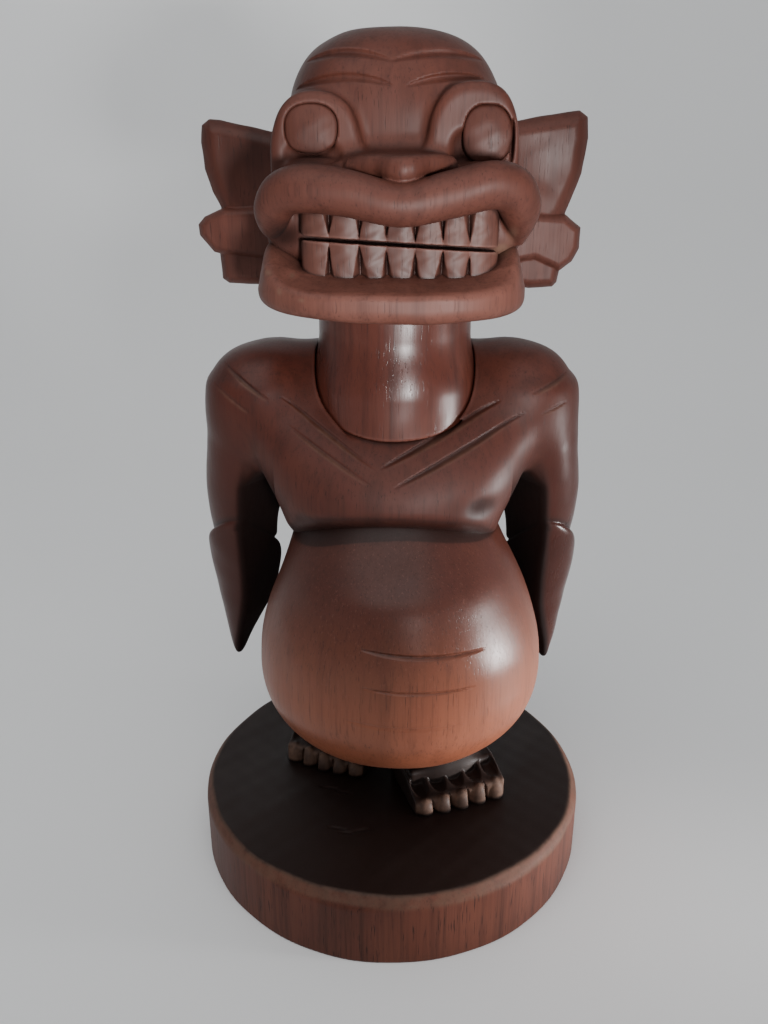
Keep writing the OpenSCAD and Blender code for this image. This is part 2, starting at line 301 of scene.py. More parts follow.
def mesh_object(name, points, faces, attributes, normals=None):
    """Object from millimetre points and quads, smooth shaded, with number attributes at its points."""
    mesh = bpy.data.meshes.new(name)
    mesh.vertices.add(len(points))
    mesh.vertices.foreach_set("co", (points * MM).astype(np.float32).ravel())
    mesh.loops.add(faces.size)
    mesh.loops.foreach_set("vertex_index", faces.astype(np.int32).ravel())
    mesh.polygons.add(len(faces))
    sides = faces.shape[1]
    mesh.polygons.foreach_set("loop_start", np.arange(0, faces.size, sides, dtype=np.int32))
    mesh.polygons.foreach_set("use_smooth", np.ones(len(faces), bool))
    mesh.update(calc_edges=True)
    mesh.validate()
    for key, values in attributes.items():
        layer = mesh.attributes.new(key, "FLOAT", "POINT")
        layer.data.foreach_set("value", values.astype(np.float32))
    if normals is not None:
        mesh.normals_split_custom_set_from_vertices(normals.tolist())
    obj = bpy.data.objects.new(name, mesh)
    bpy.context.scene.collection.objects.link(obj)
    return obj


def sculpt(name, field, low, high, voxel, around=None, skin=None, bare=None):
    """Object for the surface of field inside the box from low to high.

    around is the field that decides how enclosed a point is, if that is more than field itself.
    skin is the field that the shading follows, for a piece that is cut out of a larger surface.
    bare says how worn or freshly cut the wood is at a point, from 0 to 1. Below 0 it is painted darker,
    mostly as painted shade.
    """
    voxel = voxel * VOXEL_SCALE
    grid = openvdb.FloatGrid(3 * voxel)
    grid.copyFromArray(np.ascontiguousarray(sample(field, low, high, voxel), dtype=np.float32))
    points, faces = grid.convertToQuads(isovalue=0.0)
    points = (np.array(low) + points * voxel).astype(np.float32)
    points = settle(field, points, voxel)
    normals = slope_of(skin or field, points, 0.5 * voxel)
    normals /= np.maximum(np.linalg.norm(normals, axis=1, keepdims=True), 1e-9)
    surround = around or field
    # crease and hollow measure how enclosed a point is; the wood material darkens by them as painted shade.
    attributes = {
        "crease": hollow_at(surround, points, normals, (1.0, 2.2)),
        "hollow": hollow_at(surround, points, normals, (4.0, 9.0, 16.0, 28.0)),
    }
    if bare:
        attributes["bare"] = evaluate(bare, points)
    return mesh_object(name, points, faces, attributes, normals)


# ------------------------------------------------------------------ base


def rim_wave(p):
    """How far the worn rim of the base wanders, between about -1 and 1."""
    angle = np.arctan2(p[1], p[0])
    return 0.5 * np.sin(3 * angle + 0.6) + 0.35 * np.sin(7 * angle + 2) + 0.25 * np.sin(17 * angle)


# Small dents in the top of the base: place and turn
DENTS = ((-33, -62, 0.2), (-27, -66, 0.1), (-18, -64, -0.2), (-40, -25, 0.1), (-30, -29, 0.2))
# Chips in the rim of the base: angle round it and size
CHIPS = ((-2.52, 3.2), (-1.35, 2.6), (-2.9, 2.4))


def base_field(p):
    """Turned disc with a worn, uneven bevel; its underside stays flat."""
    r = np.hypot(p[0], p[1])
    side = r - (BASE_R - 0.9 + 0.5 * rim_wave(p))
    top = p[2] - (BASE_TOP - 0.3 + 0.25 * wobble(p, 60) + 0.12 * wobble(p, 17, 1))
    for x, y, turn in DENTS:
        u, v = p[0] - x, p[1] - y + turn * (p[0] - x)
        top = top + 0.8 * np.clip(1 - (u / 6) ** 2, 0, 1) * np.clip(1 - np.abs(v) / 1.6, 0, 1)
    bevel = (r + 0.8 * p[2] - (BASE_R + 0.8 * BASE_TOP) + 5.2 + 0.9 * rim_wave(p)) / 1.28
    disc = trim(trim(side, top, 1.0), bevel, 1.4)
    for angle, size in CHIPS:
        at = (BASE_R * math.cos(angle), BASE_R * math.sin(angle), BASE_TOP + 1)
        disc = carve(disc, pillow(p, at, (size * 1.8, size * 1.8, size), 2), 0.8)
    return trim(disc, -p[2], 1.2)


def base_bare(p):
    """The bevel is rubbed pale."""
    r = np.hypot(p[0], p[1])
    band = 1 - np.abs(r - (BASE_R - 3.2) + 0.9 * rim_wave(p)) / 3.4
    return 0.55 * np.clip(band * 2.2, 0, 1) * np.clip((p[2] - BASE_TOP + 9) / 3, 0, 1)


# ------------------------------------------------------------------ legs and feet

TOES = 5
# Middle of the toe line, width over the toes, and turn outwards, for the figure's left and right foot
FEET = {1: (42.0, -42.0, 58.0, 19.0), -1: (-43.5, -5.5, 53.0, 21.0)}


def foot_frame(p, side):
    """p in one foot's own frame: x along the toe line towards the little toe, y back, z up from the base."""
    x, y, _, turn = FEET[side]
    q = turned(p, (x, y), side * turn)
    return [side * (q[0] - x), q[1] - y, q[2] - BASE_TOP]


def foot_field(p, side):
    """One foot: blunt toes with scooped tops, a step behind them, and an instep up to the ankle."""
    q = foot_frame(p, side)
    width = FEET[side][2]
    pitch = width / TOES
    x, y, z = q
    across = np.clip(x / width + 0.5, 0, 1)
    front_top = 6.5 + 5.0 * across
    roof = (z - front_top - 0.42 * np.clip(y, -2, 18)) * 0.92
    d = trim(box(q, (0, 20, 8), (width / 2, 20, 12), 1.5), roof, 1.6)
    for i in range(TOES):
        middle = (i + 0.5 - TOES / 2) * pitch
        scoop = pillow(q, (middle, 9, 6.5 + 5.0 * (i + 0.5) / TOES + 6.5), (pitch * 0.43, 9.5, 5.0), 2.6)
        d = carve(d, scoop, 0.6)
        tip = (middle + 0.5, 2.0 - 1.3 * math.cos(i - 1.6), 2.5)
        bulge = pillow(q, tip, (pitch * 0.50, 5.0, 6.5 + i), 2.0)
        d = join(d, bulge, 0.6)
    for i in range(1, TOES):
        edge = (i - TOES / 2) * pitch
        notch = np.abs(x - edge + 0.12 * z) - np.clip(2.0 - 0.42 * (y + 3), 0, 2.2)
        d = carve(d, trim(notch, y - 3, 0), 0.5)
    step = box(q, (0, 36, 7), (width / 2 - 1.5, 20, 11.5), 2.5)
    instep = pillow(q, (0, 46, 4), (width * 0.44, 34, 30), 2.6)
    d = join(d, join(step, instep, 6), 0.6)
    return trim(d, -z - 1.0, 0.0)


def leg_field(p, side):
    """Short bent leg: foot, shank and buttock, which go up into the belly."""
    x, y, _, turn = FEET[side]
    back = 46
    ankle_x = x - side * back * math.sin(math.radians(turn))
    ankle_y = y + back * math.cos(math.radians(turn))
    shank = rod(p, (ankle_x, ankle_y, BASE_TOP + 14), (side * 34, 34, 104), 20, 26)
    seat = pillow(p, (side * 33, 38, 108), (32, 31, 35), 2.2)
    d = join(foot_field(p, side), join(shank, seat, 14), 9)
    d = d + 0.25 * wobble(p, 26, side)
    return trim(trim(d, BASE_TOP - 0.8 - p[2], 0.4), 0.2 - side * p[0], 1.0)


def left_leg_field(p):
    return leg_field(p, 1)


def right_leg_field(p):
    return leg_field(p, -1)


def foot_bare(side):
    """The cut ends of the toes are bare."""

    def bare(p):
        _, y, z = foot_frame(p, side)
        return np.clip(1.1 - np.abs(y + 1) / 4.5, 0, 1) * np.clip((z - 0.5) / 2, 0, 1)

    return bare


# ------------------------------------------------------------------ belly

BELLY_X = 4.5
BELLY_Y = -15
# Its widest level, half width and half depth there, and how far it goes down from there
BELLY_MID = 137.0
BELLY_HALF_W = 82.6
BELLY_HALF_D = 80
BELLY_DROP = 57
# Where it ends, inside the chest
BELLY_END = 240
BELLY_UPPER = slices(
    [
        (BELLY_MID - 8, BELLY_X, BELLY_Y, BELLY_HALF_W, BELLY_HALF_D),
        (BELLY_MID, BELLY_X, BELLY_Y, BELLY_HALF_W, BELLY_HALF_D),
        (150, BELLY_X, BELLY_Y, 81.8, 79.7),
        (161, BELLY_X, -15.5, 79.8, 78.8),
        (173, BELLY_X, -15.5, 76.2, 76.8),
        (186, BELLY_X, BELLY_Y, 71.3, 73.4),
        (199, 4, -14, 65.8, 69.5),
        (210, 3, -11, 61, 63),
        (221, 2, -7, 56.5, 56),
        (232, 1, -4, 52, 50),
        (246, 0, -3, 46, 44),
    ]
)


def belly_under(p):
    """Lower half of the belly: as wide as the upper half where they meet, and flatter below."""
    u = np.hypot((p[0] - BELLY_X) / BELLY_HALF_W, (p[1] - BELLY_Y) / BELLY_HALF_D)
    w = np.maximum(BELLY_MID - p[2], 0) / BELLY_DROP
    size = np.maximum(u**2.3 + w**2.3, 1e-9) ** (1 / 2.3)
    return (size - 1) / np.hypot((u / size) ** 1.3 / 81.5, (w / size) ** 1.3 / BELLY_DROP)


# Knife cuts across the belly: two ends as seen from the front, width, depth, bow and steepness
BELLY_CUTS = (
    ((-19, 178.5), (48, 174), 3.0, 1.6, -1.0, 0.45),
    ((-17, 158), (43, 155.5), 2.7, 1.3, -1.0, 0.45),
    ((-27, 137.5), (38, 134), 3.2, 0.6, -0.8, 0.5),
)


def belly_field(p):
    d = np.where(p[2] > BELLY_MID, loft(p, BELLY_UPPER), belly_under(p))
    d = d + 0.3 * wobble(p, 55, 1)
    for cut in BELLY_CUTS:
        d = gouge(d, p, *cut)
    return trim(d, p[2] - BELLY_END, 0)


# ------------------------------------------------------------------ chest, arms and neck

NECK_X = 1
NECK_R = 41.0
NECK_TILT = 22.0
NECK_SEAT = 294.0
WAIST_TILT = -30.0
WAIST_Z = 200.5
# The elbow's step and the tip of the forearm
ELBOW_Y = 18
ELBOW_Z = 199
ARM_TIP = 109

CHEST = slices(
    [
        (190, 0, -2, 54, 44),
        (206, 0, -3, 56.5, 47),
        (216, 0, -5, 59, 50.5),
        (228, 0, -6, 63, 52.5),
        (240, 0, -6, 68, 53),
        (252, 0, -4, 73.5, 53),
        (266, 0, -1, 78, 51),
        (282, 0, 2, 80, 46),
        (298, 0, 6, 80, 39),
        (308, 0, 8, 76, 31),
        (318, 0, 9, 66, 18),
    ]
)
UPPER_ARM = slices(
    [
        (190, 88.5, 20, 18.5, 18.5),
        (206, 88.5, 18.5, 20.0, 20.5),
        (216, 88, 16.5, 21.4, 22),
        (230, 87, 13.5, 22.8, 23.5),
        (246, 84.5, 10.5, 24, 25.5),
        (262, 81, 8.5, 25.5, 28),
        (278, 77, 8, 28, 29.8),
        (294, 74, 7.5, 29.5, 30.5),
    ]
)
FOREARM = slices(
    [
        (ARM_TIP, 99.8, 31, 0.8, 0.8),
        (112, 99.7, 31, 3.2, 3.4),
        (122, 98.2, 30.5, 6.8, 7.2),
        (135, 95.5, 29.5, 11.2, 11.5),
        (148, 92.8, 28.5, 15.4, 15.5),
        (160, 91, 27.5, 18.6, 18.5),
        (176, 90, 24.8, 21.6, 21),
        (190, 89.6, 21.5, 22.7, 22.4),
        (200, 89.6, 19.0, 22.8, 22.8),
        (212, 89.2, 16.8, 22.8, 23.2),
        (232, 88, 13.5, 23.2, 24.6),
    ]
)


def neck_radius(z):
    """The neck flares where it meets the chest."""
    low = np.clip((326 - z) / 30, 0, 1)
    return NECK_R + 4.4 * low * low * (3 - 2 * low)


def neck_field(p):
    r = np.hypot(p[0] - NECK_X, p[1])
    d = r - neck_radius(p[2]) + 0.25 * wobble(p, 40, 2)
    return trim(trim(d, p[2] - JAW_UNDER - 6, 0), -tilted(NECK_SEAT, NECK_TILT, p) - 0.5, 1.6)


def neck_seat(p):
    """Where the foot of the neck sits between the shoulders."""
    hole = np.hypot(p[0] - NECK_X, p[1]) - neck_radius(p[2]) - 0.4
    return trim(hole, -tilted(NECK_SEAT, NECK_TILT, p), 0)


def inner_facet(q, table):
    """Flat that is sliced off the inner front of an arm; above zero is cut away."""
    cx, cy, rx, ry, _ = at_height(q[2], table)
    return 0.825 * (cx - 0.2 * rx - q[0]) - 0.565 * (q[1] - cy + 0.8 * ry)


def arm_field(p, side):
    """One arm: a round upper arm that ends in a step, and a pointed forearm under it."""
    z = p[2]
    lengthen = np.clip((232 - z) / 70, 0, 1) * (3.5 if side > 0 else 0.5)
    q = [side * p[0], p[1], z + lengthen]
    upper = trim(loft(q, UPPER_ARM), z - 300, 8)
    upper = trim(upper, 194 - q[2], 3)
    flat = inner_facet(q, UPPER_ARM) - 0.5 * np.clip(z - 240, 0, 60)
    upper = trim(upper, flat, 2.5)
    cap = (q[2] - ELBOW_Z + 0.8 * (p[1] - ELBOW_Y)) / 1.28
    fore = trim(trim(loft(q, FOREARM), cap, 6), ARM_TIP - q[2], 0.5)
    fore = trim(fore, inner_facet(q, FOREARM), 2.0)
    return join(upper, fore, 0.8)


def torso_field(p):
    """Chest, shoulders and both arms as one surface, which the joints cut later."""
    slant = (p[2] - 315 - 0.78 * (p[1] - 2)) / 1.268
    d = trim(loft(p, CHEST, 2.4), slant, 18)
    d = trim(d, p[2] - 317, 6)
    d = join(d, rod(p, (-60, 8, 286), (60, 8, 286), 27.5, 27.5), 10)
    for side in (-1, 1):
        d = join(d, pillow(p, (side * 74 - 1, 7, 285), (29.5, 31, 31.0), 2.25), 15)
    d = join(d, pillow(p, (0, 16, 274), (66, 35, 42), 2.4), 14)
    d = carve(d, neck_seat(p), 1.5)
    d = carve(d, rod(p, (0, 60, 312), (0, 57, 200), 7, 9), 12)
    for side in (-1, 1):
        d = join(d, arm_field(p, side), 5)
    return d + 0.3 * wobble(p, 45, 3)


# Knife cuts over the breast and shoulders: two ends as seen from the front, width, and depth
SCARS = (
    ((-60, 295), (-9, 262.5), 2.6, 0.6),
    ((-56, 281.5), (-11, 255), 2.4, 0.5),
    ((-7, 263), (57, 293), 3.8, 1.2),
    ((0, 254), (70, 287), 3.6, 1.1),
    ((-91, 310), (-66, 293), 2.6, 0.6),
    ((-96, 300), (-76, 286), 2.4, 0.3),
    ((73, 296), (95, 305), 2.6, 0.5),
    ((78, 285), (94, 291), 2.4, 0.4),
)


def chest_scars(d, p):
    """d with the knife cuts and two nipple dimples."""
    for a, b, width, depth in SCARS:
        d = gouge(d, p, a, b, width, depth, steep=0.5)
    soft = np.exp(-(((p[0] - 46) / 7.5) ** 2) - ((p[2] - 240) / 5.5) ** 2)
    faint = np.exp(-(((p[0] + 49) / 5) ** 2) - ((p[2] - 233) / 4.5) ** 2)
    return d + np.where(p[1] < 0, 1.5 * soft + 0.7 * faint, 0)


def chest_bare(p):
    """Knife cuts are pale, and a dimple is painted darker."""
    return scar_bare(p) - 0.45 * np.exp(-(((p[0] - 45) / 6) ** 2) - ((p[2] - 241) / 5) ** 2)


def arm_scars_and_shade(side):
    """Knife cuts are pale, and the flat inside of the arm gets painted shade, which is below zero."""

    def bare(p):
        q = [side * p[0], p[1], p[2]]
        facet = np.where(q[2] > 210, inner_facet(q, UPPER_ARM), inner_facet(q, FOREARM))
        # Painted shade on the inner flat of the arm, which faces the belly and lies in its shade.
        shade_and_grime = np.clip(1.2 + facet / 4, 0, 1) * np.clip((262 - q[2]) / 24, 0, 1)
        return scar_bare(p) - shade_and_grime

    return bare


def scar_bare(p):
    """The stain is thin along the knife cuts."""
    best = np.zeros(len(p[0]))
    for a, b, width, _ in SCARS:
        marked = gouge(best * 0, [p[0], p[1], p[2] + 0.5 * width], a, b, 3.4, 1, steep=0.5)
        best = np.maximum(best, marked)
    return best * 0.45


def body_skin(p):
    """The whole upper body with its knife cuts."""
    return chest_scars(torso_field(p), p)


def trunk_skin(p):
    """Body surface with the soft lower edge of the breast."""
    return trim(body_skin(p), -tilted(WAIST_Z - 0.035 * p[0], WAIST_TILT, p), 7)


def chest_field(p):
    """The trunk between the two arm joints."""
    return trim(trunk_skin(p), np.abs(p[0]) - ARM_JOINT, 0)


def arm_piece_field(side):
    """Arm and shoulder outside the joint, which reach 3 mm into the chest so that no gap shows."""

    def field(p):
        return trim(body_skin(p) + 0.1, ARM_JOINT - 3 - side * p[0], 0)

    return field


# ------------------------------------------------------------------ head

BROW_TOP = {-1: 440.0, 1: 444.0}
BROW_X = 35.5
BROW_HALF_W = 21.0
BROW_HALF_H = 32.0
# Middle height, slope in degrees, middle and width of the saw cut between the teeth
BITE_Z = 376.0
BITE_TILT = 3.5
BITE_X = 2.0
BITE_GAP = 1.7
SKULL_AT = (0.5, 4.0, SKULL_TOP - 51.0)


def skull_field(p):
    crown = pillow(p, SKULL_AT, (53, 53, 51), 2.7)
    nape = pillow(p, (0, 4, 384), (48, 46, 50), 2.6)
    return join(crown, nape, 16)


def brow_field(p, side):
    """Broad arch of wood round one eye."""
    x = (p[0] - side * BROW_X) / BROW_HALF_W
    z = (p[2] - (BROW_TOP[side] - BROW_HALF_H)) / BROW_HALF_H
    flat = ((np.abs(x) ** 2.5 + np.abs(z) ** 2.5 + 1e-6) ** 0.4 - 1) * BROW_HALF_W
    return trim(flat, np.abs(p[1] + 34) - 21, 4.0)


# Middle of each eye and its half width, half depth and half height
EYES = {-1: ((-37.6, -48, 424.4), (12.0, 8, 10.2)), 1: ((41.6, -48, 421.8), (10.8, 8, 12.6))}


def eye_outline(p, side, spare):
    """Distance to an eye's outline as seen from the front, grown by spare."""
    at, radii = EYES[side]
    grown = (radii[0] + spare, 1e3, radii[2] + spare)
    return pillow([p[0], p[1] * 0, p[2]], (at[0], 0, at[2]), grown, 2.4)


def socket_field(p, side):
    """Hole in the brow behind an eye's outline."""
    return trim(eye_outline(p, side, 0), np.abs(p[1] + 60) - 9.5, 1.5)


# Upper lip from the figure's right corner of the mouth to the left: x, y, z and radius
LIP = (
    (-57.0, -60, 379, 1.6),
    (-55.6, -65, 385.0, 6.4),
    (-53.6, -70, 392, 8.9),
    (-48.5, -74, 397.5, 9.8),
    (-39, -78, 399.5, 10.2),
    (-22, -81, 398, 9.8),
    (2, -83, 393, 9.2),
    (23, -81, 397, 9.8),
    (41, -78, 401, 10.0),
    (50.5, -74, 399.2, 10.1),
    (55.2, -69, 393, 9.6),
    (57.0, -64, 385, 6.6),
    (57.5, -60, 377, 2.4),
)


def nose_field(p):
    """Low broad nose: a bar with a wing at each end and a tip that hangs over the lip."""
    bar = sausage(
        p,
        [
            (-18, -66, 408.0, 4.6),
            (-12, -70, 408.5, 5.6),
            (-5, -74, 409.0, 5.8),
            (3, -80, 407.5, 6.8),
            (11, -75, 409.5, 5.8),
            (17, -71, 409.5, 5.6),
            (23, -66, 408.5, 4.6),
        ],
        4,
    )
    bridge = pillow(p, (2, -56, 408.5), (20, 16, 6.5), 2.6)
    return trim(join(bar, bridge, 4), p[2] - 414.5 - 0.06 * (p[1] + 60), 2)


# Forehead lines: two ends as seen from the front, width, depth and bow
FOREHEAD_LINES = (
    ((-41, 454), (-2, 453), 4.4, 1.5, 3.2),
    ((-46, 442), (-1, 442.5), 4.6, 1.7, 4.0),
    ((-3, 452.5), (41, 454.5), 4.2, 1.3, 2.8),
    ((5, 442), (41, 446), 4.4, 1.6, 2.2),
)
# Hollows beside and below the eyes: middle, half sizes, power and blend
EYE_HOLLOWS = (
    ((31.0, -56.5, 415.5), (5.5, 6.5, 8.0), 2.2, 3),
    ((-37, -57, 413.8), (12.5, 6, 5.0), 2.4, 3),
    ((52.6, -54, 419), (1.1, 4, 9), 2, 1.0),
)
# Cheeks that rise below the eyes: middle and half sizes
CHEEKS = (
    ((-35, -52, 404), (17, 9, 8.5)),
    ((40, -52, 402), (16, 9, 8.5)),
)


def face_field(p):
    """Skull, muzzle, brows, nose and upper lip, with the sockets and the mouth cut out."""
    d = skull_field(p)
    muzzle = pillow(p, (0, -34, 385), (53, 40, 31), 3.0)
    d = join(d, muzzle, 8)
    for side in (-1, 1):
        d = join(d, brow_field(p, side), 5)
    for line in FOREHEAD_LINES:
        d = gouge(d, p, *line, steep=0.42)
    for side in (-1, 1):
        d = carve(d, socket_field(p, side), 0.8)
    for at, radii, power, blend in EYE_HOLLOWS:
        d = carve(d, pillow(p, at, radii, power), blend)
    for at, radii in CHEEKS:
        d = join(d, pillow(p, at, radii, 2.4), 2)
    mouth = box(p, (0, -86, 371), (53, 24, 19), 6)
    d = carve(d, mouth, 3)
    for side in (-1, 1):
        d = join(d, pillow(p, (side * 47, -48, 382), (12.5, 15, 15), 2.6), 3)
    d = join(d, sausage(p, LIP), 3.0)
    d = join(d, nose_field(p), 1.6)
    return d + 0.2 * wobble(p, 30, 4)


def head_field(p):
    """The face cut off where the jaw goes."""
    front = trim(p[1] + 12, p[2] - JAW_TOP + 2, 0)
    d = carve(face_field(p), front, 0)
    return trim(d, JAW_UNDER - p[2], 1.0)


def eye_field(side):
    """Low dome, nearly flush with the brow."""
    at, radii = EYES[side]

    def field(p):
        dome = pillow(p, (at[0], at[1] + 22.5, at[2] - 1), (32, 30.5, 33), 2)
        d = trim(eye_outline(p, side, 0.3), dome, 1.5)
        return trim(d, np.abs(p[1] - at[1]) - radii[1], 0.5) + 0.2 * wobble(p, 13, side)

    return field


# Marks on the face: place and half sizes as seen from the front, and how bare (above zero) or darkened by
# painted shade (below zero)
FACE_MARKS = (
    (-37, 413, 12, 4.5, -0.5),
    (31, 415, 6, 7.5, -0.6),
    (52.5, 417, 2, 8, -0.5),
    (-50, 379, 9, 6.5, -0.9),
    (49, 373, 4, 3, 0.8),
    (53, 379, 2.5, 5, 0.6),
    (-57, 364, 1.8, 1.2, 0.9),
    (-51, 357, 1.2, 1.6, 0.9),
    (-46, 363, 1.2, 1.0, 0.8),
    (-41, 354, 1.6, 1.0, 0.8),
)


def face_nicks_and_shade(p):
    """Painted shade in the hollows of the face, and pale nicks where the wood has chipped."""
    total = np.zeros(len(p[0]))
    for x, z, half_x, half_z, value in FACE_MARKS:
        total += value * np.exp(-(((p[0] - x) / half_x) ** 2) - ((p[2] - z) / half_z) ** 2)
    return np.where(p[1] < -35, total, 0)


# ------------------------------------------------------------------ jaw and teeth


def jaw_plan(p, lean):
    """Outline of the jaw from above; lean above 1 narrows it."""
    return pillow([(p[0] + 1.5) * lean, p[1], p[2] * 0], (0, -48, 0), (62.5, 47.5, 1e3), 3.2)


def jaw_field(p):
    """Slab of the lower lip, with a scooped shelf and side rims that climb to the mouth corners."""
    x, y, z = p
    under = JAW_UNDER + 0.0009 * x * x + 0.03 * np.clip(-x, 0, 60) - z
    ramp = np.clip((np.abs(x) - 33) / 25, 0, 1)
    corner = ramp * ramp * (3 - 2 * ramp) * np.exp(-(((y + 54) / 20) ** 2))
    top = (z - (JAW_TOP - 1 + 0.26 * np.clip(y + 93, 0, 20) + 14 * corner)) * (1 - 0.2 * corner)
    slab = trim(jaw_plan(p, 1 + 0.0040 * np.clip(z - 356, 0, 30)), under, 7)
    slab = trim(slab, top, 4)
    slab = join(slab, box(p, (2, -58, 354), (46, 14, 9), 3), 3)
    return trim(slab, y + 11, 1) + 0.2 * wobble(p, 34, 5)


def bite_height(p):
    """Height above the sloping saw cut between the rows of teeth."""
    c, s = math.cos(math.radians(BITE_TILT)), math.sin(math.radians(BITE_TILT))
    return (p[2] - BITE_Z) * c + (p[0] - BITE_X) * s


# Where one tooth ends and the next begins, from the figure's right to its left
TOOTH_EDGES = (-42.5, -29.5, -16.0, -4.0, 9.0, 21.5, 33.5, 47.0)


def teeth_field(p, up):
    """One row of blunt pegs: wide at the bite, with dark notches that open towards the gum."""
    h = bite_height(p) * up
    d = pillow([p[0], p[1], p[2] * 0], (2, -48, 0), (50, 27, 1e3), 4.0)
    for left, right in zip(TOOTH_EDGES, TOOTH_EDGES[1:]):
        bulge = ((p[0] - (left + right) / 2) / ((right - left) / 2)) ** 2
        d = d + np.where((p[0] >= left) & (p[0] < right), 1.0 * bulge - 0.6, 0)
    for i, edge in enumerate(TOOTH_EDGES[1:-1]):
        opening = -0.25 + 0.2 * np.clip(h - 1.0, 0, 15) * (1 + 0.3 * math.sin(2.3 * i + up))
        middle = edge + 0.05 * h * math.sin(i)
        notch = np.abs(p[0] - middle) - opening * np.clip(d / 3.2 + 1, -0.3, 1.4)
        d = carve(d, notch, 0.5)
    d = d + 0.2 * wobble(p, 9, up)
    d = trim(d, BITE_GAP / 2 - h, 0.5)
    d = trim(d, h - 20, 0)
    ends = np.maximum(TOOTH_EDGES[0] - p[0], p[0] - TOOTH_EDGES[-1])
    return trim(d, ends, 2.0)


# ------------------------------------------------------------------ ears

# Outlines as (distance from the middle, height) for the figure's right (-1) and left (1) ear
EARS = {
    -1: {
        "wing": (
            (48, 372), (48, 424), (62, 425), (88, 430.5), (94, 431), (98, 428),
            (99, 420), (98, 407), (94.5, 396), (90, 387), (84, 381),
        ),
        "lobe": (
            (48, 360), (48, 391), (88, 388.5), (99, 384),
            (102.5, 380), (102, 374.5), (95, 366), (88, 364.5),
        ),
        "foot": ((50, 352), (60, 372), (93, 370), (92, 352), (88.5, 349.5), (78, 349), (60, 349)),
    },
    1: {
        "wing": (
            (48, 372), (48, 426), (62, 430), (86, 434), (94.5, 435), (99, 432),
            (100, 422), (98, 405), (93.5, 393), (90, 384), (84, 378),
        ),
        "lobe": (
            (48, 358), (48, 388), (90, 385), (98.5, 378.5),
            (98.5, 368), (95, 361), (88, 356), (74, 362),
        ),
        "foot": ((50, 352), (60, 372), (91, 366), (88.5, 350), (86, 347.5), (73, 347), (60, 349)),
    },
}


def plate(d2, y, front, back, bevel, slope):
    """Plate whose outline is d2, rolled off towards its front edge."""
    roll = np.clip((d2 + bevel) / bevel, 0, 1.3)
    return trim(trim(d2, front + slope * bevel * roll * roll - y, 1.0), y - back, 1.5)


def ear_field(side):
    """Ear of three plates that overlap: wing on top, lobe in the middle and foot below."""

    def field(p):
        x, y, z = p[0] * side, p[1], p[2]
        y = y - 0.10 * np.clip(x - 50, 0, None)
        dish = 2.2 * np.exp(-(((x - 74) / 16) ** 2) - ((z - 408) / 15) ** 2)
        wing = plate(outline(x, z, EARS[side]["wing"]) + 1.5, y - dish, -1, 13, 7.0, 0.6)
        lobe = plate(outline(x, z, EARS[side]["lobe"]) + 1.0, y, -5, 14, 3.5, 0.9)
        foot = plate(outline(x, z, EARS[side]["foot"]) + 1.0, y, -1.5, 11, 4.5, 0.9)
        d = join(join(wing - 1.5, lobe - 1.0, 1.0), foot - 1.0, 0.8)
        return d + 0.2 * wobble(p, 22, side)

    return field


# ------------------------------------------------------------------ wood


class Nodes:
    """Short names for building one material's node tree."""

    def __init__(self, name):
        self.material = bpy.data.materials.new(name)
        self.material.use_nodes = True
        self.tree = self.material.node_tree
        self.shader = self.tree.nodes["Principled BSDF"]
        self.place = self.add("ShaderNodeTexCoord").outputs["Object"]

    def add(self, kind, **settings):
        node = self.tree.nodes.new(kind)
        for key, value in settings.items():
            setattr(node, key, value)
        return node

    def link(self, source, target):
        self.tree.links.new(source, target)

    def math(self, operation, a, b=0.0, c=0.0):
        node = self.add("ShaderNodeMath", operation=operation)
        for socket, value in zip(node.inputs, (a, b, c)):
            if isinstance(value, (int, float)):
                socket.default_value = value
            else:
                self.link(value, socket)
        return node.outputs[0]

    def scaled(self, x, y, z):
        node = self.add("ShaderNodeMapping")
        node.inputs["Scale"].default_value = (x, y, z)
        self.link(self.place, node.inputs["Vector"])
        return node.outputs[0]

    def noise(self, vector, scale=1.0, detail=4.0, rough=0.55, twist=0.0):
        node = self.add("ShaderNodeTexNoise")
        node.inputs["Scale"].default_value = scale
        node.inputs["Detail"].default_value = detail
        node.inputs["Roughness"].default_value = rough
        node.inputs["Distortion"].default_value = twist
        self.link(vector, node.inputs["Vector"])
        return node.outputs[0]

    def range(self, value, a, b, c=0.0, d=1.0):
        node = self.add("ShaderNodeMapRange", interpolation_type="SMOOTHSTEP")
        for socket, number in zip(node.inputs[1:5], (a, b, c, d)):
            socket.default_value = number
        self.link(value, node.inputs[0])
        return node.outputs[0]

    def mix(self, factor, a, b, blend="MIX"):
        node = self.add("ShaderNodeMix", data_type="RGBA", blend_type=blend)
        if isinstance(factor, (int, float)):
            node.inputs[0].default_value = factor
        else:
            self.link(factor, node.inputs[0])
        for socket, value in ((node.inputs[6], a), (node.inputs[7], b)):
            if isinstance(value, tuple):
                socket.default_value = (*value, 1)
            else:
                self.link(value, socket)
        return node.outputs[2]

    def attribute(self, name):
        return self.add("ShaderNodeAttribute", attribute_name=name).outputs["Fac"]


WORN = (0.125, 0.068, 0.046)


def scaled_colour(colour, factor):
    return tuple(c * factor for c in colour)


def paler(colour, factor, lift):
    return tuple(min(c * factor + lift, 1) for c in colour)


